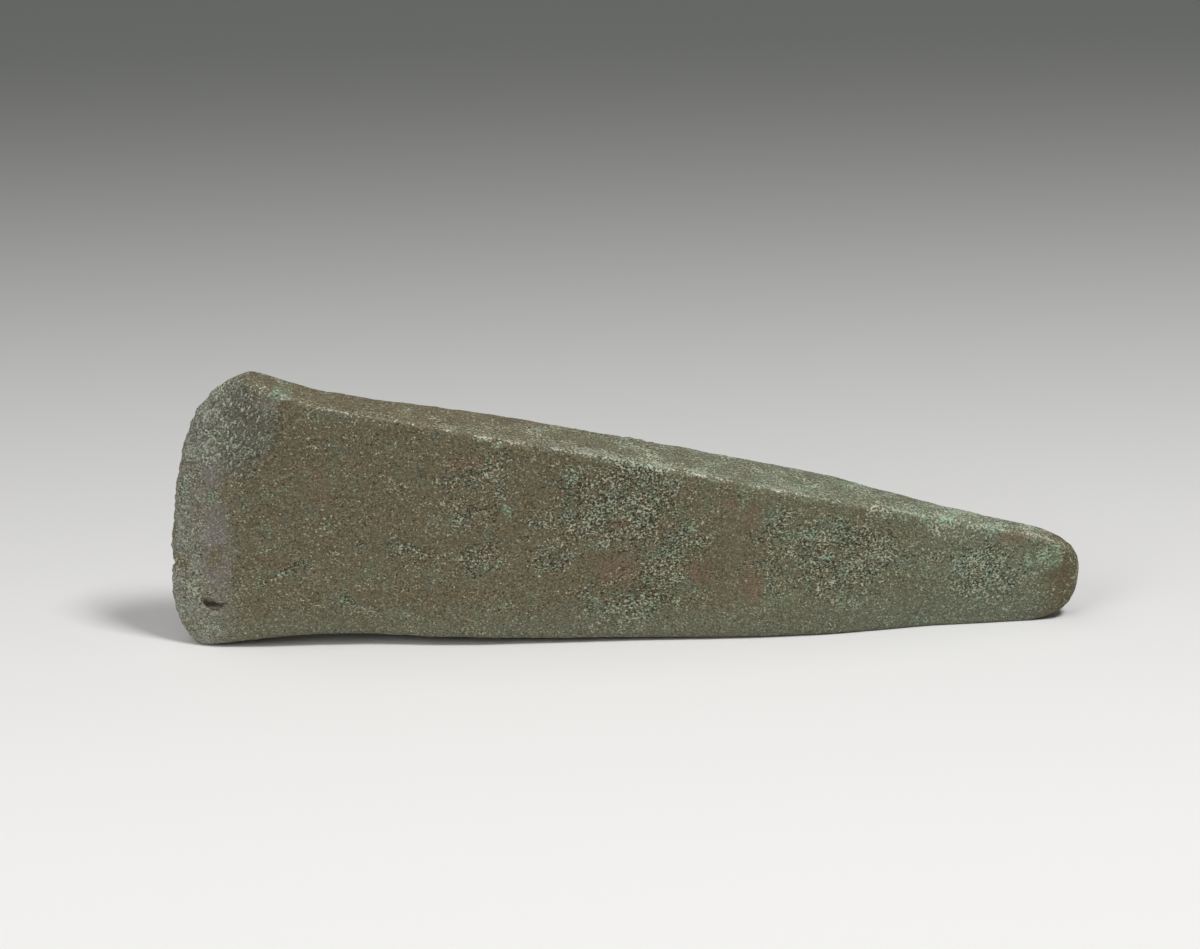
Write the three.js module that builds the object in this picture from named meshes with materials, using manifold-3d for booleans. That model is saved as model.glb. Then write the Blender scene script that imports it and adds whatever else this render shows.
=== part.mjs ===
// A cast bronze flat axe head: a long tapering wedge with a bowed cutting edge at one end, whose corners flare, and
// a narrow rounded butt at the other. It rests on one long narrow side, the way it is laid down: the lower corner of
// the cutting edge and the stretch of side near the butt touch the ground. Millimetres, +Z up, +X from edge to butt.
import * as THREE from "three";
import { mergeVertices } from "three/addons/utils/BufferGeometryUtils.js";
import Module from "manifold-3d";

const wasm = await Module();
wasm.setup();

// Outline, seen on the broad face. Along is measured from the cutting edge, across from the axe's middle line.
const length = 150;
const bodyWidth = 40.6; // across the body behind the flare
const bodyStart = 20; // where that is, along
const buttWidth = 17.2; // across the body before the butt turns in
const buttStart = 14; // where that is, from the end of the butt
const upperSwell = 1.1; // how far the upper long side bows out between those two
const lowerSwell = 0.55;
const upperFlare = 2.1; // how far the upper corner of the edge stands out from the line of its side
const upperFlareReach = 14; // over what length it falls back to that line
const lowerFlare = 2.9;
const lowerFlareReach = 23;
const upperEdgeBow = 9.8; // how far the edge falls back from its foremost point to the upper corner
const lowerEdgeBow = 6;
const upperButtBow = 11; // the same for the end of the butt
const lowerButtBow = 13;
const bowReach = 45; // how far behind the edge, or before the butt, a cross-section is still bowed

// Thickness
const thickness = 12.2; // from one broad face to the other, at the thickest
const edgeThickness = 2; // of the blunt cutting edge, at its middle
const cornerBluntness = 3; // at its corners it is as thick as the blade is this far behind the middle
const buttThickness = 4.2; // of the butt, before it rounds off
const faceCrown = 0.35; // each broad face stands this much proud in its middle
const sideCrown = 0.2; // and each narrow side
const arrisRadius = 0.8; // the worn corner between a broad face and a narrow side

// The thickness along the axe, between edgeThickness and buttThickness: [share of the length, share of thickness].
const thicknessCourse = [
  [0.03, 0.42],
  [0.06, 0.6],
  [0.1, 0.69],
  [0.24, 0.78],
  [0.34, 0.98],
  [0.5, 0.96],
  [0.63, 1],
  [0.71, 0.94],
  [0.79, 0.72],
  [0.86, 0.52],
  [0.92, 0.45],
];

// Flats and damage
const restFlat = 0.25; // how deep the underside is worn flat where it rests
const cheekFlat = 0.2; // how deep the broad faces are worn flat at the thickest, where a haft grips
const chipAcross = -11.6; // the chip's steeper lip, on the cutting edge
const chipLength = 2.6;
const chipDepth = 0.8;
const pitAlong = 7.5; // a crescent casting pit near the lower corner of the front face
const pitAcross = -16.4;
const pitLength = 3.8;
const pitWidth = 2; // from its horns down to the bottom of its bow
const pitDepth = 0.9;

// How finely the skin is divided
const stations = 84;
const stationCrowding = 0.8; // 0 spaces the cross-sections evenly, towards 1 they crowd at both ends
const faceSteps = 12;
const arrisSteps = 3;
const sideSteps = 3;
const clearance = 0.4; // how far a cutting body starts outside what it cuts

// A smooth curve through [x, y] points that never swings past a neighbour.
function curveThrough(points) {
  const slopes = points.map(([x, y], i) => {
    if (i === 0 || i === points.length - 1) return 0;
    const before = (y - points[i - 1][1]) / (x - points[i - 1][0]);
    const after = (points[i + 1][1] - y) / (points[i + 1][0] - x);
    return before * after <= 0 ? 0 : (2 * before * after) / (before + after);
  });
  return (x) => {
    const clamped = THREE.MathUtils.clamp(x, points[0][0], points.at(-1)[0]);
    const i = Math.max(1, points.findIndex((point) => point[0] >= clamped));
    const [x0, y0] = points[i - 1];
    const [x1, y1] = points[i];
    const t = (clamped - x0) / (x1 - x0);
    const bend = (x1 - x0) * t * (1 - t) * (slopes[i - 1] * (1 - t) - slopes[i] * t);
    return THREE.MathUtils.lerp(y0, y1, t * t * (3 - 2 * t)) + bend;
  };
}

const thicknessAlong = curveThrough([
  [0, edgeThickness],
  ...thicknessCourse.map(([share, amount]) => [share * length, amount * thickness]),
  [length, buttThickness],
]);

// Which part of an end's bow a cross-section still has, at a distance from that end.
function bowLeft(distance) {
  return Math.max(0, 1 - distance / bowReach) ** 2;
}

// How far a bowed end falls back, at a share of the half width from -1 to 1: half in one long curve from corner to
// corner, half in the tighter turn at each corner.
function fallBack(bow, share) {
  const across = Math.abs(share);
  return (bow / 2) * (across ** 3 + across ** 9);
}

function edgeBow(side) {
  return side > 0 ? upperEdgeBow : lowerEdgeBow;
}

function buttBow(side) {
  return side > 0 ? upperButtBow : lowerButtBow;
}

// The place along the axe of a point on a cross-section.
function alongAt(station, share) {
  const edge = fallBack(edgeBow(share), share) * bowLeft(station);
  const butt = fallBack(buttBow(share), share) * bowLeft(length - station);
  return station + edge - butt;
}

// From the middle line to a narrow side. Side is 1 for the upper one, -1 for the lower.
function halfWidthAt(along, side) {
  const share = (along - bodyStart) / (length - buttStart - bodyStart);
  const straight = THREE.MathUtils.lerp(bodyWidth, buttWidth, share) / 2;
  const fullSwell = side > 0 ? upperSwell : lowerSwell;
  const swell = fullSwell * Math.sin(Math.PI * THREE.MathUtils.clamp(share, 0, 1));
  const flare = side > 0 ? upperFlare : lowerFlare;
  const reach = side > 0 ? upperFlareReach : lowerFlareReach;
  const flareLeft = Math.max(0, 1 - (along - edgeBow(side)) / reach) ** 1.7;
  return straight + swell + flare * flareLeft;
}

// From the middle plane to a broad face. The cutting edge and the butt close in a round nose.
function halfThicknessAt(station, share) {
  const nose = (distance, radius) => Math.sqrt(1 - Math.max(0, 1 - distance / radius) ** 2);
  const bluntness = cornerBluntness * Math.abs(share) ** 6;
  const full = thicknessAlong(station + bluntness * bowLeft(station)) / 2;
  return full * nose(station, thicknessAlong(bluntness) / 2) * nose(length - station, buttThickness / 2);
}

// One cross-section, once round: the front face upwards, the upper narrow side, the back face, the lower side.
function crossSection(station) {
  const place = (share, side, depth, proud) => {
    const across = Math.abs(share) * halfWidthAt(alongAt(station, side), side) + proud;
    return new THREE.Vector3(alongAt(station, share), depth, side * across);
  };
  const swollen = (share) => halfThicknessAt(station, share) / (thickness / 2);
  const radius = Math.min(arrisRadius, 0.6 * halfThicknessAt(station, 1));
  const arrisShare = (side) => radius / halfWidthAt(alongAt(station, side), side);
  const flat = halfThicknessAt(station, 1) - radius;

  // Points across a broad face are closer together towards its arrises, where the ends turn most.
  const broadFace = (facing) => Array.from({ length: faceSteps - 1 }, (_, i) => {
    const t = Math.sin(((i + 1) / faceSteps - 0.5) * Math.PI);
    const side = t < 0 ? -1 : 1;
    const share = t * (1 - arrisShare(side));
    const crown = faceCrown * swollen(share) * (1 - t * t);
    return place(share, side, facing * (halfThicknessAt(station, share) + crown), 0);
  });
  const arris = (side, facing) => Array.from({ length: arrisSteps + 1 }, (_, i) => {
    const angle = (i / arrisSteps) * (Math.PI / 2);
    const share = side * (1 - arrisShare(side) * (1 - Math.sin(angle)));
    return place(share, side, facing * (flat + radius * Math.cos(angle)), 0);
  });
  const narrowSide = (side) => Array.from({ length: sideSteps - 1 }, (_, i) => {
    const t = (2 * (i + 1)) / sideSteps - 1;
    return place(side, side, t * flat, sideCrown * swollen(side) * (1 - t * t));
  });
  return [
    ...broadFace(-1),
    ...arris(1, -1),
    ...narrowSide(1),
    ...arris(1, 1).reverse(),
    ...broadFace(1).reverse(),
    ...arris(-1, 1),
    ...narrowSide(-1).reverse(),
    ...arris(-1, -1).reverse(),
  ];
}

// The skin over all cross-sections. The first and the last have no thickness, so the ends close by themselves.
function skinOver(sections) {
  const around = sections[0].length;
  const index = [];
  for (let i = 0; i < sections.length - 1; i++) {
    for (let j = 0; j < around; j++) {
      const a = i * around + j;
      const b = i * around + ((j + 1) % around);
      index.push(a, a + around, b, b, a + around, b + around);
    }
  }
  return new THREE.BufferGeometry().setFromPoints(sections.flat()).setIndex(index);
}

// A closed three.js geometry as a manifold-3d solid.
function solidFrom(geometry) {
  const bare = geometry.clone();
  bare.deleteAttribute("normal");
  bare.deleteAttribute("uv");
  const merged = mergeVertices(bare, 1e-4);
  const triVerts = [];
  for (let i = 0; i < merged.index.count; i += 3) {
    const [a, b, c] = [0, 1, 2].map((k) => merged.index.getX(i + k));
    if (a !== b && b !== c && c !== a) triVerts.push(a, b, c);
  }
  return new wasm.Manifold(new wasm.Mesh({
    numProp: 3,
    vertProperties: merged.attributes.position.array,
    triVerts: new Uint32Array(triVerts),
  }));
}

// And back again.
function geometryFrom(solid) {
  const { vertProperties, triVerts } = solid.getMesh();
  const geometry = new THREE.BufferGeometry()
    .setAttribute("position", new THREE.BufferAttribute(vertProperties, 3))
    .setIndex(new THREE.BufferAttribute(triVerts, 1));
  geometry.computeVertexNormals();
  geometry.computeBoundingBox();
  return geometry;
}

// The chip in the cutting edge, which goes right through: its lower lip is steep, the upper one runs out slowly.
function chip() {
  const mouth = alongAt(0, chipAcross / halfWidthAt(lowerEdgeBow, -1));
  const outline = new THREE.Shape();
  outline.moveTo(mouth - clearance, chipAcross);
  outline.lineTo(mouth + chipDepth, chipAcross + chipLength * 0.2);
  outline.lineTo(mouth + chipDepth * 0.7, chipAcross + chipLength * 0.55);
  outline.lineTo(mouth - clearance, chipAcross + chipLength);
  return new THREE.ExtrudeGeometry(outline, { depth: thickness, bevelEnabled: false })
    .rotateX(Math.PI / 2)
    .translate(0, thickness / 2, 0);
}

// The crescent pit in the front face, with its horns turned up.
function pit() {
  const outline = new THREE.Shape();
  outline.moveTo(-pitLength / 2, pitWidth / 2);
  outline.quadraticCurveTo(-pitLength / 4, -pitWidth * 0.9, pitLength / 2, -pitWidth / 3);
  outline.quadraticCurveTo(0, pitWidth * 0.4, -pitLength / 2, pitWidth / 2);
  const share = pitAcross / halfWidthAt(lowerEdgeBow, -1);
  const station = Math.max(0, pitAlong - (alongAt(0, share) - alongAt(0, 0)));
  const depth = pitDepth + thickness;
  return new THREE.ExtrudeGeometry(outline, { depth, curveSegments: 6, bevelEnabled: false })
    .rotateX(Math.PI / 2)
    .translate(pitAlong, pitDepth - halfThicknessAt(station, share), pitAcross);
}

// The slope of the line under the lower side, from the edge's corner to the side near the butt.
function restAngleUnder(points) {
  let angle = 0;
  for (let round = 0; round < 8; round++) {
    const height = (p) => p.z * Math.cos(angle) - p.x * Math.sin(angle);
    const lowest = (set) => set.reduce((best, p) => (height(p) < height(best) ? p : best));
    const toe = lowest(points.filter((p) => p.x < length / 2));
    const heel = lowest(points.filter((p) => p.x >= length / 2));
    angle = Math.atan2(heel.z - toe.z, heel.x - toe.x);
  }
  return angle;
}

const sections = Array.from({ length: stations + 1 }, (_, i) => {
  const t = i / stations;
  return crossSection(length * (t - (stationCrowding * Math.sin(2 * Math.PI * t)) / (2 * Math.PI)));
});
const cheek = thickness / 2 + faceCrown - cheekFlat;
const axe = solidFrom(skinOver(sections))
  .subtract(solidFrom(chip()))
  .subtract(solidFrom(pit()))
  .trimByPlane([0, 1, 0], -cheek)
  .trimByPlane([0, -1, 0], -cheek);

const laid = geometryFrom(axe).rotateY(restAngleUnder(sections.flat()));
laid.computeBoundingBox();
laid.translate(0, 0, -laid.boundingBox.min.z - restFlat);
const shape = geometryFrom(solidFrom(laid).trimByPlane([0, 0, 1], 0));
const middle = shape.boundingBox.getCenter(new THREE.Vector3());
shape.translate(-middle.x, -middle.y, 0);

const bronze = new THREE.MeshStandardMaterial({ color: 0x5f5a48, roughness: 0.75, metalness: 0.35 });
const axeHead = new THREE.Mesh(shape, bronze);
axeHead.name = "axe_head";

const part = new THREE.Group();
part.add(axeHead);

export default part;
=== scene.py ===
import math
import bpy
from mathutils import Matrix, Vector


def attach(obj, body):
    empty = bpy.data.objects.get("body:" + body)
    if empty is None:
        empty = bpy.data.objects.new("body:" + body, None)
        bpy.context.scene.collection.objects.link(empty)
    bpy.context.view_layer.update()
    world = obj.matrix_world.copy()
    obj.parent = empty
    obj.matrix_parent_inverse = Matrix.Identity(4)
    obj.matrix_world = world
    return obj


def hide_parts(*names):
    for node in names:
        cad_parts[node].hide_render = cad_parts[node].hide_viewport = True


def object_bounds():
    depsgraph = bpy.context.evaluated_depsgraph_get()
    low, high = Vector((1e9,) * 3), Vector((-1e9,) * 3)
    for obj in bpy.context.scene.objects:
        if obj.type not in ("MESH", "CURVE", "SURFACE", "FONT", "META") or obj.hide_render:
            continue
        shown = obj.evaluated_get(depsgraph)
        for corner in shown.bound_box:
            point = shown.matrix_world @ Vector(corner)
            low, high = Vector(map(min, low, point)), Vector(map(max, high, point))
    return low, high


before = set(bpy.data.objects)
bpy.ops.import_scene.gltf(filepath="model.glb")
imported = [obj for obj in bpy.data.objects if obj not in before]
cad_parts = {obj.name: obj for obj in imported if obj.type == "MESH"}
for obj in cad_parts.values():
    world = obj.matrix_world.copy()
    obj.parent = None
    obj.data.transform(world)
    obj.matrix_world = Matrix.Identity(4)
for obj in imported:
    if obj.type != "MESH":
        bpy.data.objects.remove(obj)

from types import SimpleNamespace

import bpy
import numpy as np
from mathutils import Matrix, Vector, noise

# The axe lies on its long narrow side. Its cutting edge is towards -X, its butt towards +X and its front
# face towards -Y. Sizes and places are in millimetres, and become metres where Blender takes them.
MM = 0.001

cad_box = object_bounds()
axe_low = cad_box[0] / MM

# Picture
IMAGE_WIDTH = 1200
IMAGE_HEIGHT = 949
LENS = 135
SENSOR = 36
CAMERA_DISTANCE = 736.4
CAMERA_HEIGHT_ANGLE = 22.7
CAMERA_TURN = 4.0
NEAREST_SEEN = 10
AIM_HEIGHT = 23.7  # the camera is fitted round this point of the axe's upright middle line
AIM_ACROSS_PX = 628.5  # and this is where that point lands in the picture
AIM_DOWN_PX = 495.5

# Studio
FLOOR_SIZE = 6000
PAINTED_FALLOFF = (-88, 347)  # where the painted shade on the floor starts to fall off into grey, and where it is greyest
SKY_STRENGTH = 0.11

# Skin
MERGE_WITHIN = 0.01
SKIN_SPACING = 0.37  # between neighbouring points
SKIN_SMOOTHING = 2
REST_HEIGHT = 0.35  # nothing below this is roughened, so that the axe still lies on its flats
FREE_HEIGHT = 1.6  # everything above this is

# Wear of the arrises, partly painted highlight. A pair gives where it starts and where it is full. Tilts
# and spreads are in degrees, from the way that a broad face looks.
EDGE_STRIP = (13, 3)  # in from the cutting edge
FRONT_SIDE = (0, 1.5)  # from the middle of the thickness to the front
ARRIS_TILT = 45
ARRIS_SPREAD = 40
WEAR_AND_HIGHLIGHT_TILT = 60
WEAR_AND_HIGHLIGHT_SPREAD = 30
WEAR_AND_HIGHLIGHT_ALONG = (-64, -57)
BRIGHTEST_MIDDLE = -47  # of the stretch that shows the most bare bronze and painted highlight
BRIGHTEST_REACH = (12, 8)  # to either side of it
BRIGHTEST_SPREAD = 16
BRIGHTEST_EXTRA = 0.5
CRUMBLED_ALONG = (-44, -36)
CRUMBLED_ACROSS = (2, 4.2)
CRUMBLED_WEAR_AND_HIGHLIGHT = 0.75
LOWER_WEAR_AND_HIGHLIGHT = 0.4  # of the lower arrises, as a share of the upper ones'

# Where the patina changes along the axe or up it, and where painted shade deepens up the face: where each
# change starts, and where it is complete.
TOWARDS_EDGE = (20, -20)
GREENER = (0, 66)
GREEN_TOP = (-42, 8)
BUTT_END = (66, 72)
REDDISH_WEAR_AND_HIGHLIGHT = (-36, -42)
LOW_BAND = (9, 3)
# Painted shade on the front face, deepening from the first height to the second.
PAINTED_SHADE_UP = (8, 38)

# Patches of the front face: middle along, middle up, half length, half height, strength.
PORED = [
    (-25.2, 27.6, 8, 7, 0.75),
    (-24.4, 15.7, 6, 3.4, 0.8),
    (-13, 15.3, 5.4, 3.2, 0.9),
    (-2.2, 25, 15, 10, 1),
    (0.1, 9.5, 10.5, 7.5, 0.9),
    (9, 16, 5.5, 9, 0.7),
    (36, 14.2, 13, 9, 0.95),
    (23.5, 14.5, 5.5, 10, 0.6),
    (59.5, 9.3, 9, 7, 0.9),
    (-34.7, 15.9, 5, 3.2, 0.45),
    (-46.9, 8.2, 2.2, 1.5, 0.6),
]
RED_BROWN = [
    (-2.2, 12.8, 5, 4, 1),
    (11.3, 12.6, 2.4, 3.4, 0.8),
    (-27.1, 32.8, 4, 1.6, 1),
    (-2.3, 21.2, 2.4, 1.4, 0.8),
    (16.4, 24.2, 2.2, 1.3, 0.8),
    (19.5, 21.8, 2.5, 3.4, 0.8),
    (19.7, 9.3, 2.6, 4.6, 0.9),
    (63.3, 15.2, 3.4, 1.6, 0.9),
    (71.2, 7.8, 3.4, 4.8, 0.7),
    (-50, 30, 9, 5, 0.35),
    (-53, 44.8, 6, 1.3, 0.7),
]
SMOOTH_PURPLE = [
    (-67.7, 16.7, 2.7, 9.6, 1),
    (-67.9, 30.2, 2, 3.4, 0.7),
    (-59.3, 43, 2.4, 1.5, 0.8),
]
PALE_CRUST = [
    (56.5, 18.3, 11, 3.4, 1),
    (-56, 44.4, 2.8, 1, 1.8),
    (67.9, 15.3, 3, 1.4, 0.8),
    (66, 11.5, 0.7, 2.6, 0.9),
    (12, 6.2, 1.2, 0.9, 0.8),
]
BRIGHT_GREEN = [
    (-66.8, 37.2, 1.2, 1.7, 1),
    (-68, 26.7, 1.5, 1.6, 1),
    (-71.3, 10.6, 2, 1.8, 0.9),
    (69.8, 11.6, 2.6, 3.4, 1),
    (-71.7, 26, 1.4, 11, 0.2),
    (-56.2, 44.4, 2.4, 1.1, 1.5),
    (0.7, 26.7, 0.9, 1, 0.9),
    (7.6, 6.7, 0.6, 1.6, 1),
    (-5.7, 7.8, 1, 1.2, 0.9),
    (-21.7, 35.4, 1.2, 0.8, 1),
    (-20.3, 24.4, 1.1, 0.9, 0.9),
]
STREAKED = [(-65.5, 39, 9.5, 10.5, 1)]

# A crack of the front face: where it starts and ends, along and up, and its half width.
CRACK = ((-59.7, 11.7), (-53.4, 15.5), 1.1)

# Small marks of the front face: middle along, middle up, half length, half height, rise in degrees.
SCRATCHES = [
    (-26.7, 5, 1.6, 0.14, -20),
    (49.7, 19.6, 0.5, 0.14, 0),
    (-24.5, 32.3, 0.9, 0.14, -25),
    (-29.5, 32.1, 0.4, 0.2, 0),
]
# The crescent pit is an oval less a second one, painted dark as shade, with a pale line painted as
# highlight along its lower rim.
PIT = (-68.2, 8.1, 2.3, 1.4, 0)
PIT_LIP = (-68.1, 9, 2.6, 1.5, 0)
PIT_RIM_HIGHLIGHT = (-68, 6.8, 1.8, 0.2, 0)

# Colours
BROWN = (0.139, 0.118, 0.067, 1)
OLIVE = (0.146, 0.154, 0.098, 1)
GREY_GREEN = (0.144, 0.153, 0.107, 1)
RUSTY = (0.165, 0.117, 0.074, 1)
GREENISH = (0.122, 0.137, 0.098, 1)
TOP_BROWN = (0.160, 0.134, 0.084, 1)
TOP_OLIVE = (0.158, 0.164, 0.118, 1)
REDDISH = (0.185, 0.118, 0.078, 1)
CORNER_DARK = (0.096, 0.098, 0.074, 1)
EDGE_GREY = (0.230, 0.221, 0.185, 1)
PURPLE_GREY = (0.192, 0.178, 0.162, 1)
BUTT_BROWN = (0.111, 0.089, 0.045, 1)
VERDIGRIS = (0.160, 0.240, 0.150, 1)
CRUST = (0.225, 0.255, 0.185, 1)
SPECK_PALE = (0.53, 0.55, 0.41, 1)
SPECK_GREEN = (0.34, 0.465, 0.33, 1)
PORE_DARK = (0.026, 0.024, 0.017, 1)
STREAK_PALE = (0.48, 0.50, 0.43, 1)
PALE_METAL_AND_HIGHLIGHT = (0.56, 0.55, 0.46, 1)
REDDISH_METAL_AND_HIGHLIGHT = (0.41, 0.355, 0.33, 1)
FLECK_PALE = (0.64, 0.65, 0.55, 1)
SCRATCH_ORANGE = (0.52, 0.33, 0.23, 1)
RIM_HIGHLIGHT_PALE = (0.42, 0.36, 0.25, 1)
PIT_SHADE_COLOUR = (0.030, 0.026, 0.016, 1)
PAPER_LIGHT = (0.800, 0.792, 0.780, 1)
PAINTED_FALLOFF_GREY = (0.150, 0.156, 0.150, 1)
SKY_WHITE = (0.98, 0.98, 0.98, 1)


class Value:
    """A node's output that can stand in a Python expression. Each operator adds its Math node."""

    def __init__(self, finish, socket):
        self.finish = finish
        self.socket = socket

    def __add__(self, other):
        return self.finish.calculate("ADD", self, other)

    def __radd__(self, other):
        return self.finish.calculate("ADD", other, self)

    def __sub__(self, other):
        return self.finish.calculate("SUBTRACT", self, other)

    def __rsub__(self, other):
        return self.finish.calculate("SUBTRACT", other, self)

    def __mul__(self, other):
        return self.finish.calculate("MULTIPLY", self, other)

    def __rmul__(self, other):
        return self.finish.calculate("MULTIPLY", other, self)


class Finish:
    """A material and the nodes that make it up."""

    def __init__(self, name):
        self.material = bpy.data.materials.new(name)
        self.material.use_nodes = True
        self.tree = self.material.node_tree
        self.tree.nodes.clear()
        metres = self.node("ShaderNodeTexCoord", output="Object")
        self.place = self.scaled(metres, 1 / MM)
        self.x, self.y, self.z = (
            self.node("ShaderNodeSeparateXYZ", inputs={0: self.place}, output=axis) for axis in "XYZ"
        )

    def node(self, kind, settings=None, inputs=None, output=0):
        """Adds a node. Settings are set first, then each input takes a number, a colour or a Value."""
        made = self.tree.nodes.new(kind)
        for name, setting in (settings or {}).items():
            setattr(made, name, setting)
        for name, given in (inputs or {}).items():
            if isinstance(given, Value):
                self.tree.links.new(given.socket, made.inputs[name])
            else:
                made.inputs[name].default_value = given
        return Value(self, made.outputs[output]) if made.outputs else None

    def calculate(self, operation, first, second):
        return self.node("ShaderNodeMath", {"operation": operation}, {0: first, 1: second})

    def scaled(self, vector, amount):
        """A place or a colour times a number."""
        return self.node("ShaderNodeVectorMath", {"operation": "SCALE"}, {0: vector, "Scale": amount})

    def painted(self, name):
        """What the skin was painted with, point by point."""
        return self.node("ShaderNodeAttribute", {"attribute_name": name}, output="Fac")

    def fade(self, value, start, end):
        """0 before start, 1 after end and a smooth step between them. End may lie below start."""
        return self.node(
            "ShaderNodeMapRange",
            {"interpolation_type": "SMOOTHSTEP"},
            {0: value, 1: start, 2: end, 3: 0, 4: 1},
        )

    def turned(self, degrees, centre=(0, 0, 0)):
        """The place, turned on the broad face round a centre."""
        return self.node(
            "ShaderNodeVectorRotate",
            {"rotation_type": "Y_AXIS"},
            {"Vector": self.place, "Center": centre, "Angle": math.radians(degrees)},
        )

    def moved(self, place, by, scale):
        """A place, scaled and then moved."""
        return self.node("ShaderNodeMapping", inputs={"Vector": place, "Location": by, "Scale": scale})

    def stretched(self, size, stretch, turn, seed):
        """The place in units of a pattern's size, stretched along the axe, turned and set apart by seed."""
        scale = (1 / (size * stretch), 1 / size, 1 / size)
        return self.moved(self.turned(turn), (seed * 7.3, seed * -4.1, seed * 9.7), scale)

    def cloud(self, size, seed, detail=2, stretch=1, turn=0):
        """Soft noise around 0.5, with features about size millimetres across."""
        where = self.stretched(size, stretch, turn, seed)
        return self.node("ShaderNodeTexNoise", inputs={"Vector": where, "Scale": 1, "Detail": detail})

    def flecks(self, size, seed, share, radius):
        """Round flecks on a share of scattered points that lie about size millimetres apart."""
        inputs = {"Vector": self.stretched(size, 1, 0, seed), "Scale": 1}
        away = self.node("ShaderNodeTexVoronoi", inputs=inputs, output="Distance")
        drawn = self.node("ShaderNodeTexVoronoi", inputs=inputs, output="Color")
        return self.fade(away, radius / size, radius / size * 0.4) * self.fade(drawn, share, share - 0.02)

    def mark(self, along, up, half_length, half_height, rise):
        """A small oval mark on the front face. Its rise is in degrees."""
        away = self.moved(
            self.turned(rise, (along, 0, up)),
            (-along / half_length, 0, -up / half_height),
            (1 / half_length, 0, 1 / half_height),
        )
        length = self.node("ShaderNodeVectorMath", {"operation": "LENGTH"}, {0: away}, output="Value")
        return self.fade(length, 1, 0.6) * self.fade(self.y, 0, -1)

    def blend(self, share, under, over):
        """One colour over another, by a share from 0 to 1."""
        return self.node("ShaderNodeMix", {"data_type": "RGBA"}, {0: share, 6: under, 7: over}, output=2)

    def coats(self, colour, *coats):
        """A colour under several others. Each coat is its share from 0 to 1 and its colour."""
        for share, over in coats:
            colour = self.blend(share, colour, over)
        return colour

    def close(self, inputs, relief=None):
        """Ends the material in a Principled shader. Relief is in millimetres, and is shown as bump."""
        surface = dict(inputs)
        if relief is not None:
            bump = {"Height": relief, "Distance": MM, "Strength": 1}
            surface["Normal"] = self.node("ShaderNodeBump", inputs=bump)
        shader = self.node("ShaderNodeBsdfPrincipled", inputs=surface)
        self.node("ShaderNodeOutputMaterial", inputs={"Surface": shader})
        return self.material


def smooth_step(values, start, end):
    """0 before start, 1 after end and a smooth step between them. End may lie below start."""
    t = np.clip((values - start) / (end - start), 0, 1)
    return t * t * (3 - 2 * t)


def near(values, middle, spread):
    """1 at the middle, falling evenly to 0 at the spread to either side."""
    return np.clip(1 - np.abs(values - middle) / spread, 0, 1)


def only(thing):
    """Makes one object the selected and active one."""
    bpy.ops.object.select_all(action="DESELECT")
    thing.select_set(True)
    bpy.context.view_layer.objects.active = thing


def apply(thing, kind, **settings):
    """Adds a modifier to an object and applies it."""
    only(thing)
    modifier = thing.modifiers.new(kind.lower(), kind)
    for name, setting in settings.items():
        setattr(modifier, name, setting)
    bpy.ops.object.modifier_apply(modifier=modifier.name)


def read_points(values, name, count):
    """Three numbers for each point of a mesh, one row each."""
    flat = np.empty(count * 3, np.float32)
    values.foreach_get(name, flat)
    return flat.reshape(-1, 3)


def points_and_normals(thing):
    """Its points in millimetres and its smooth normals, one row each."""
    mesh = thing.data
    count = len(mesh.vertices)
    return read_points(mesh.vertices, "co", count) / MM, read_points(mesh.vertex_normals, "vector", count)


def paint(thing, name, values):
    """Stores a value at each point under a name, for materials to read."""
    layer = thing.data.attributes.new(name, "FLOAT", "POINT")
    layer.data.foreach_set("value", np.asarray(values, np.float32))


def group(thing, name, weights):
    """Stores a weight from 0 to 1 at each point, in even steps, for modifiers to read."""
    steps = 32
    made = thing.vertex_groups.new(name=name)
    level = np.rint(np.clip(weights, 0, 1) * steps).astype(int)
    for step in range(1, steps + 1):
        made.add(np.flatnonzero(level == step).tolist(), step / steps, "REPLACE")
    return made.name


def cloudy(points, size, seed):
    """Slow noise from about -1 to 1 at each point."""
    shift = Vector((seed * 3.1, seed * -5.3, seed * 7.7))
    return np.array([noise.noise(Vector(point) / size + shift) for point in points.tolist()])


def patches(points, places):
    """How strong the patches of a broad face are: full to half way out, 0 at the rim, below 0 beyond it.
    A place is its middle along and up, its half length and half height, and its strength."""
    nearest = np.full(len(points), -9.0)
    for along, up, half_length, half_height, strength in places:
        away = np.hypot((points[:, 0] - along) / half_length, (points[:, 2] - up) / half_height)
        nearest = np.maximum(nearest, np.minimum(2 * (1 - away), 1) * strength)
    return np.maximum(nearest, -1)


def near_line(points, start, end, half_width):
    """1 on a straight line across a broad face, 0 at half width from it. Start and end are along and up."""
    start, end = np.array(start), np.array(end)
    flat = points[:, [0, 2]]
    share = np.clip((flat - start) @ (end - start) / np.sum((end - start) ** 2), 0, 1)
    away = np.linalg.norm(flat - start - share[:, None] * (end - start), axis=1)
    return near(away, 0, half_width)


def make_skin():
    """The axe's own form, divided finely enough to be roughened."""
    skin = bpy.data.objects.new("patinated_axe_head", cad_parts["axe_head"].data.copy())
    bpy.context.scene.collection.objects.link(skin)
    only(skin)
    bpy.ops.object.mode_set(mode="EDIT")
    bpy.ops.mesh.select_all(action="SELECT")
    bpy.ops.mesh.remove_doubles(threshold=MERGE_WITHIN * MM)
    bpy.ops.object.mode_set(mode="OBJECT")
    apply(skin, "REMESH", mode="VOXEL", voxel_size=SKIN_SPACING * MM)
    apply(skin, "SMOOTH", factor=0.5, iterations=SKIN_SMOOTHING)
    bpy.ops.object.shade_smooth()
    return skin


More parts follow.
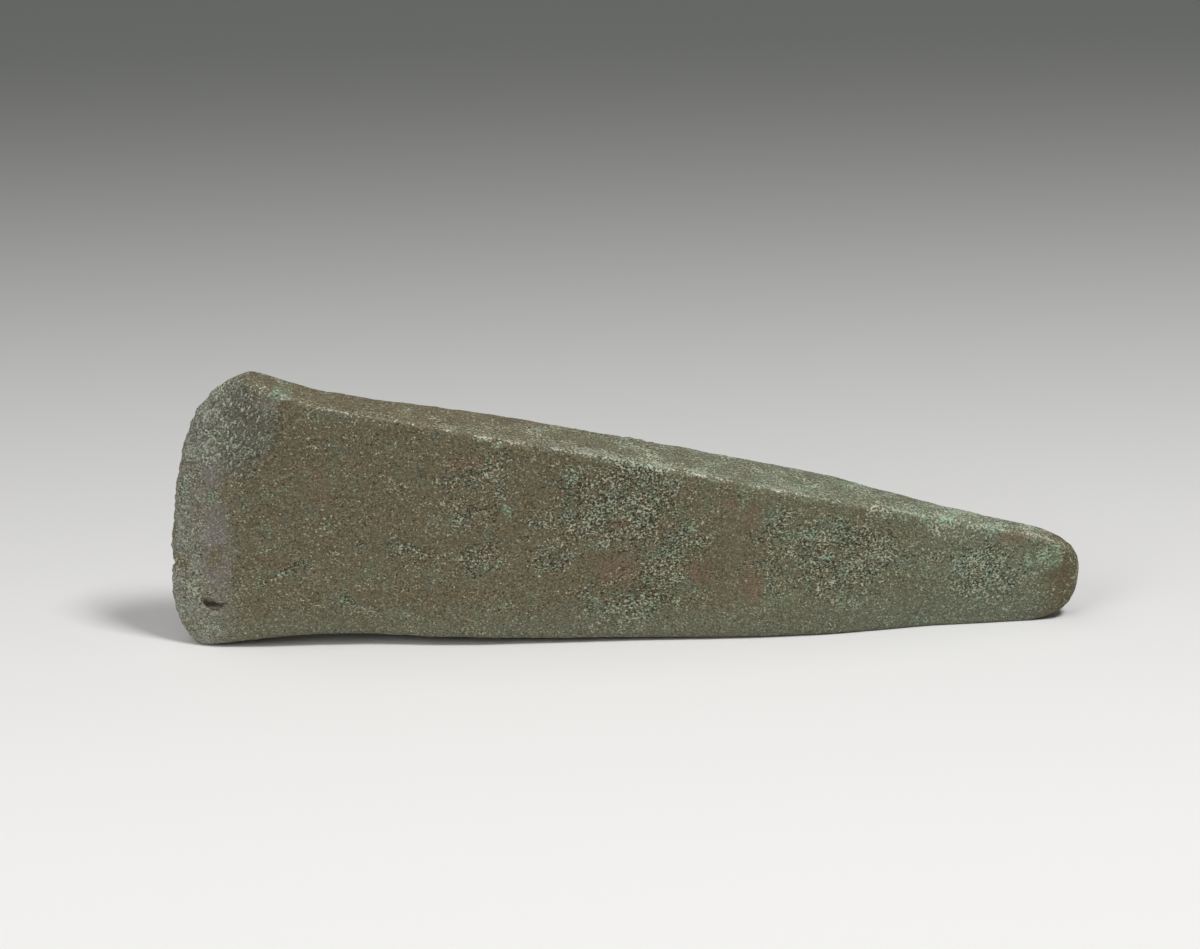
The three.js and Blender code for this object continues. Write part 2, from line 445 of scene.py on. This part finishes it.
def arris_wear_and_highlight(points, normals, tilt):
    """How bare the arrises are, partly as painted highlight: most bare and brightest on one stretch, and
    crumbling along the front of the upper side.
    """
    x, y, _ = points.T
    wear_and_highlight = near(tilt, WEAR_AND_HIGHLIGHT_TILT, WEAR_AND_HIGHLIGHT_SPREAD) * smooth_step(x, *WEAR_AND_HIGHLIGHT_ALONG)
    brightest = smooth_step(np.abs(x - BRIGHTEST_MIDDLE), *BRIGHTEST_REACH)
    wear_and_highlight += BRIGHTEST_EXTRA * near(tilt, WEAR_AND_HIGHLIGHT_TILT, BRIGHTEST_SPREAD) * brightest
    upward = np.clip(normals[:, 2], 0, 1)
    crumbled = smooth_step(-y, *CRUMBLED_ACROSS) * upward * smooth_step(x, *CRUMBLED_ALONG)
    return np.maximum(wear_and_highlight, CRUMBLED_WEAR_AND_HIGHLIGHT * crumbled) * np.where(normals[:, 2] > 0, 1, LOWER_WEAR_AND_HIGHLIGHT)


def roughen(thing, name, weights, size, depth, sunk, octaves):
    """Moves the points in and out by a noise. Sunk is the share of the depth that goes inwards."""
    texture = bpy.data.textures.new(name, "CLOUDS")
    texture.noise_scale = size * MM
    texture.noise_depth = octaves
    apply(
        thing,
        "DISPLACE",
        texture=texture,
        texture_coords="LOCAL",
        strength=depth * MM,
        mid_level=sunk,
        vertex_group=group(thing, name, weights),
    )


def weather(skin):
    """Paints where the skin is corroded, rubbed bare and crusted, and where its arrises carry painted
    highlight, and roughens it to match.
    """
    points, normals = points_and_normals(skin)
    x, y, z = points.T
    front = smooth_step(-y, *FRONT_SIDE)
    behind = 1 - front
    broken = cloudy(points, size=7, seed=1) + 0.5 * cloudy(points, size=3, seed=3)
    elsewhere = cloudy(points, size=15, seed=2) * 1.5 - 0.3
    pored = np.where(front > 0.5, patches(points, PORED), elsewhere) + 0.6 * broken
    crack = near_line(points, *CRACK) * front
    edge = smooth_step(x - axe_low.x, *EDGE_STRIP)
    tilt = np.degrees(np.arccos(np.clip(np.abs(normals[:, 1]), 0, 1)))

    paint(skin, "pored", np.maximum(pored, crack * 1.3))
    paint(skin, "red", patches(points, RED_BROWN) * front - behind * 0.4 + 0.3 * broken)
    paint(skin, "purple", patches(points, SMOOTH_PURPLE) * front - behind * 0.5 + 0.2 * broken)
    paint(skin, "bright", patches(points, BRIGHT_GREEN) * front - behind * 0.5 + 0.2 * broken)
    paint(skin, "crust", patches(points, PALE_CRUST) + 0.5 * broken)
    paint(skin, "streaked", patches(points, STREAKED) + 0.3 * broken)
    # Wear of the arrises, partly painted highlight.
    paint(skin, "wear_and_highlight", arris_wear_and_highlight(points, normals, tilt))
    paint(skin, "upward", np.clip(normals[:, 2], 0, 1))
    paint(skin, "edge", edge)

    free = smooth_step(z, REST_HEIGHT, FREE_HEIGHT)
    near_edge = free * smooth_step(edge, 0.5, 1)
    at_edge = free * smooth_step(edge, 0.7, 1)
    on_arris = free * near(tilt, ARRIS_TILT, ARRIS_SPREAD)
    pitted = free * smooth_step(pored, -0.2, 0.5)
    roughen(skin, "hammered_waves", free, size=16, depth=0.5, sunk=0.65, octaves=1)
    roughen(skin, "cast_lumps", free, size=4.5, depth=0.3, sunk=0.55, octaves=2)
    roughen(skin, "ragged_edge", near_edge, size=2.6, depth=0.6, sunk=0.5, octaves=2)
    roughen(skin, "jagged_edge", at_edge, size=0.9, depth=0.5, sunk=0.55, octaves=1)
    roughen(skin, "worn_arris", on_arris, size=2.2, depth=0.35, sunk=0.6, octaves=1)
    roughen(skin, "corrosion_pits", pitted, size=0.9, depth=0.45, sunk=0.6, octaves=1)
    return skin


def patina_zones(finish):
    """Where each kind of patina lies, from 0 to 1, with a slow mottle that varies them."""
    zone = SimpleNamespace()
    tint = finish.cloud(16, seed=1)
    ragged = (finish.cloud(1.6, seed=12, detail=4, stretch=1.8, turn=30) - 0.5) * 2.6
    zone.mottle = finish.cloud(3.2, seed=2, detail=3)
    zone.pored = finish.fade(finish.painted("pored") + ragged * 0.9, -0.3, 1.2)
    zone.red = finish.fade(finish.painted("red") + ragged * 0.8, 0, 1)
    zone.purple = finish.fade(finish.painted("purple") + ragged + (zone.mottle - 0.5) * 3, -0.1, 1.2)
    zone.crust = finish.fade(finish.painted("crust") + ragged, 0, 1)
    zone.bright = finish.fade(finish.painted("bright") + ragged, 0, 1.1)
    zone.streaked = finish.fade(finish.painted("streaked") + ragged * 0.5, 0, 0.8)
    zone.edge = finish.painted("edge")
    zone.upward = finish.painted("upward")
    zone.low = finish.fade(finish.z, *LOW_BAND)
    zone.towards_edge = finish.fade(finish.x, *TOWARDS_EDGE)
    zone.greener = finish.fade(finish.x + (tint - 0.5) * 90, *GREENER)
    zone.green_top = finish.fade(finish.x + (tint - 0.5) * 40, *GREEN_TOP) * zone.upward
    zone.brown_top = zone.upward - zone.green_top
    return zone


def ground_colour(finish, zone):
    """The patina under its grain, crust and pores: brown turning olive, and the hues of its zones."""
    hue = finish.cloud(0.7, seed=8, stretch=1.3)
    return finish.coats(
        BROWN,
        (zone.greener, OLIVE),
        (finish.fade(zone.mottle, 0.45, 0.7) * 0.45, GREY_GREEN),
        (finish.fade(hue, 0.46, 0.66) * 0.16, RUSTY),
        (finish.fade(hue, 0.50, 0.34) * 0.16, GREENISH),
        (zone.low * 0.55, GREY_GREEN),
        (zone.brown_top * 0.6, TOP_BROWN),
        (zone.green_top * 0.55, TOP_OLIVE),
        (zone.red * 0.45, REDDISH),
        (zone.streaked * 0.7, CORNER_DARK),
        (zone.edge * (zone.mottle * 2.4 - 0.55), EDGE_GREY),
        (zone.purple * 0.65, PURPLE_GREY),
        (finish.fade(finish.x, *BUTT_END) * 0.8, BUTT_BROWN),
        (zone.bright * 0.45, VERDIGRIS),
    )


def brightness(finish, zone, grain, fine):
    """How light or dark the ground is: painted shade and painted light, sandy grain with sparks, and
    lengthwise traces on the upper side.
    """
    # Painted shade: the face is darkest under its upper arris, where less light comes back from the floor.
    # Painted light makes the upper side lighter towards the butt.
    painted_light_and_shade = 1.06 - finish.fade(finish.z, *PAINTED_SHADE_UP) * (1 - zone.upward) * 0.12 + zone.green_top * 0.09
    calm = 1 - zone.purple * 0.2 - zone.red * 0.3 - zone.brown_top * 0.1
    rough = 1.35 + zone.pored * 0.2 + (zone.green_top + zone.streaked + zone.edge) * 0.4
    rough += zone.towards_edge * 0.1
    sparks = finish.fade(grain, 0.53, 0.72)
    coarse = 0.98 + ((grain - 0.5) * rough + sparks * 0.4) * calm
    traces = 1 + (finish.cloud(0.5, seed=9, stretch=12) - 0.5) * zone.upward * 1.1
    return painted_light_and_shade * coarse * (1 + (fine - 0.5) * 2.1) * traces


def crust_specks(finish, zone):
    """Pale specks of crust. The corroded zones are rich in them and the smooth ones poor."""
    dots = finish.flecks(0.4, seed=21, share=0.62, radius=0.19)
    grains = finish.cloud(0.33, seed=5, detail=3, stretch=1.15) + dots * 0.06 - 0.02
    gathered = (finish.cloud(3.5, seed=15, stretch=1.5, turn=20) - 0.5) * (0.22 + zone.upward * 0.16)
    rich = zone.pored * 0.124 + zone.edge * 0.062 + zone.crust * (0.07 - zone.upward * 0.02)
    rich += (zone.bright + zone.green_top) * 0.05 + zone.greener * 0.02 + zone.streaked * 0.01
    poor = zone.purple * 0.08 + zone.red * 0.07 + zone.brown_top * 0.005
    return finish.fade(grains + rich + gathered - poor, 0.605, 0.685)


def speck_colour(finish, zone):
    """Grey in some places and green in others, lighter on the upper side."""
    greenish = finish.fade(zone.mottle - zone.towards_edge * 0.06, 0.38, 0.60)
    return finish.scaled(finish.blend(greenish, SPECK_PALE, SPECK_GREEN), 1 + zone.upward * 0.2)


def dark_pores(finish, zone):
    """Small dark pores, many where the patina is pored and few where it is smooth."""
    many = zone.pored * 0.13 + zone.towards_edge * 0.014 + zone.edge * 0.01
    few = zone.purple * 0.06 + (zone.low + zone.red) * 0.04
    return finish.fade(finish.cloud(0.32, seed=6, stretch=1.3) - many + few, 0.36, 0.24)


def corner_streaks(finish, zone):
    """Pale steep streaks in the dark upper corner of the cutting edge."""
    return finish.fade(finish.cloud(0.34, seed=10, stretch=2.6, turn=62), 0.54, 0.68) * zone.streaked


def bare_metal_and_highlights(finish):
    """Crumbs along the arrises, partly bare bronze where they are rubbed and partly painted highlight."""
    crumbs = finish.cloud(0.32, seed=7, stretch=1.2) + finish.cloud(4, seed=14) * 0.8 - 0.9
    return finish.fade(finish.painted("wear_and_highlight") + crumbs * 3.6, 0.95, 1.3)


def pale_flecks(finish, zone):
    """Scattered pale flecks, with smaller ones between them towards the edge and on the upper side."""
    large = finish.flecks(3.4, seed=11, share=0.45, radius=0.28) * (1 - zone.low * 0.5)
    small = finish.flecks(1.5, seed=17, share=0.45, radius=0.18)
    return large + small * (zone.towards_edge * 0.9 + zone.upward * 0.8)


def patina():
    """Brown and olive patina, pored and crusted with green where it is corroded."""
    finish = Finish("patinated_bronze")
    zone = patina_zones(finish)
    grain = finish.cloud(0.34, seed=3, stretch=1.25)
    fine = finish.cloud(0.19, seed=4, detail=1, stretch=1.3)
    specks = crust_specks(finish, zone)
    pores = dark_pores(finish, zone)
    streaks = corner_streaks(finish, zone)
    wear_and_highlight = bare_metal_and_highlights(finish)
    metal_and_highlight = finish.blend(finish.fade(finish.x, *REDDISH_WEAR_AND_HIGHLIGHT), PALE_METAL_AND_HIGHLIGHT, REDDISH_METAL_AND_HIGHLIGHT)
    scratches = sum(finish.mark(*place) for place in SCRATCHES)
    # Painted shade inside the crescent pit, which the relief also sinks.
    shaded_pit = finish.mark(*PIT) * (1 - finish.mark(*PIT_LIP))

    ground = finish.scaled(ground_colour(finish, zone), brightness(finish, zone, grain, fine))
    colour = finish.coats(
        ground,
        (zone.crust * 0.15, CRUST),
        (specks * 0.8, speck_colour(finish, zone)),
        (pores * 0.85, PORE_DARK),
        (streaks * 0.75, STREAK_PALE),
        # Bare bronze and painted highlight along the arrises.
        (wear_and_highlight * 0.7, metal_and_highlight),
        (pale_flecks(finish, zone) * 0.85, FLECK_PALE),
        (scratches * 0.55, SCRATCH_ORANGE),
        # Painted highlight along the pit's lower rim, then painted shade inside the pit.
        (finish.mark(*PIT_RIM_HIGHLIGHT) * 0.5, RIM_HIGHLIGHT_PALE),
        (shaded_pit * 0.9, PIT_SHADE_COLOUR),
    )
    inputs = {
        "Base Color": colour,
        "Roughness": 0.72 - wear_and_highlight * 0.2 - zone.purple * 0.12 + pores * 0.1,
        "Metallic": 0.12 + wear_and_highlight * 0.3,
        "Specular IOR Level": 0.3,
    }
    relief = grain * 0.05 + fine * 0.03 + specks * 0.07 + streaks * 0.06 - pores * 0.16 - shaded_pit * 0.3
    return finish.close(inputs, relief)


def painted_falloff_floor():
    """The seamless floor, light in front, with painted shade that falls off into grey behind the axe."""
    finish = Finish("floor_with_painted_falloff")
    colour = finish.blend(finish.fade(finish.y, *PAINTED_FALLOFF), PAPER_LIGHT, PAINTED_FALLOFF_GREY)
    return finish.close({"Base Color": colour, "Roughness": 0.95})


def lay_floor():
    bpy.ops.object.select_all(action="DESELECT")
    bpy.ops.mesh.primitive_plane_add(size=FLOOR_SIZE * MM)
    floor = bpy.context.object
    floor.name = "studio_floor"
    floor.data.materials.append(painted_falloff_floor())


def hang_light(name, along, across, up, size, power):
    """A square soft light that faces the middle of the axe. Its power is in watts."""
    lamp = bpy.data.lights.new(name, "AREA")
    lamp.shape = "SQUARE"
    lamp.size = size * MM
    lamp.energy = power
    light = bpy.data.objects.new(name, lamp)
    light.location = Vector((along, across, up)) * MM
    aim = Vector((0, 0, AIM_HEIGHT)) * MM - light.location
    light.rotation_euler = aim.to_track_quat("-Z", "Y").to_euler()
    bpy.context.scene.collection.objects.link(light)


def light_studio():
    """A wide light overhead, a stronger one from the right, a soft one from the left and a dim sky."""
    hang_light("overhead", along=-320, across=-40, up=900, size=900, power=2.8)
    hang_light("key", along=440, across=-340, up=1080, size=260, power=9.8)
    hang_light("left_fill", along=-620, across=-560, up=560, size=500, power=2.8)
    world = bpy.data.worlds.new("studio")
    world.use_nodes = True
    sky = world.node_tree.nodes["Background"]
    sky.inputs["Color"].default_value = SKY_WHITE
    sky.inputs["Strength"].default_value = SKY_STRENGTH
    bpy.context.scene.world = world


def place_camera():
    """The camera looks down on the front face from a little to the left."""
    height_angle = math.radians(CAMERA_HEIGHT_ANGLE)
    turn = math.radians(CAMERA_TURN)
    back = Vector((
        -math.sin(turn) * math.cos(height_angle),
        -math.cos(turn) * math.cos(height_angle),
        math.sin(height_angle),
    ))
    right = Vector((math.cos(turn), -math.sin(turn), 0))
    up = back.cross(right)
    pixel = CAMERA_DISTANCE * SENSOR / LENS / IMAGE_WIDTH
    place = Vector((0, 0, AIM_HEIGHT)) + back * CAMERA_DISTANCE
    place += right * (IMAGE_WIDTH / 2 - AIM_ACROSS_PX) * pixel
    place += up * (AIM_DOWN_PX - IMAGE_HEIGHT / 2) * pixel
    camera = bpy.data.objects.new("camera", bpy.data.cameras.new("camera"))
    camera.data.lens = LENS
    camera.data.sensor_width = SENSOR
    camera.data.clip_start = NEAREST_SEEN * MM
    turned = Matrix((right, up, back)).transposed().to_4x4()
    camera.matrix_world = Matrix.Translation(place * MM) @ turned
    bpy.context.scene.collection.objects.link(camera)
    bpy.context.scene.camera = camera


axe = weather(make_skin())
axe.data.materials.clear()
axe.data.materials.append(patina())
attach(axe, "root")
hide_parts("axe_head")
lay_floor()
light_studio()
place_camera()
bpy.context.scene.view_settings.view_transform = "Standard"
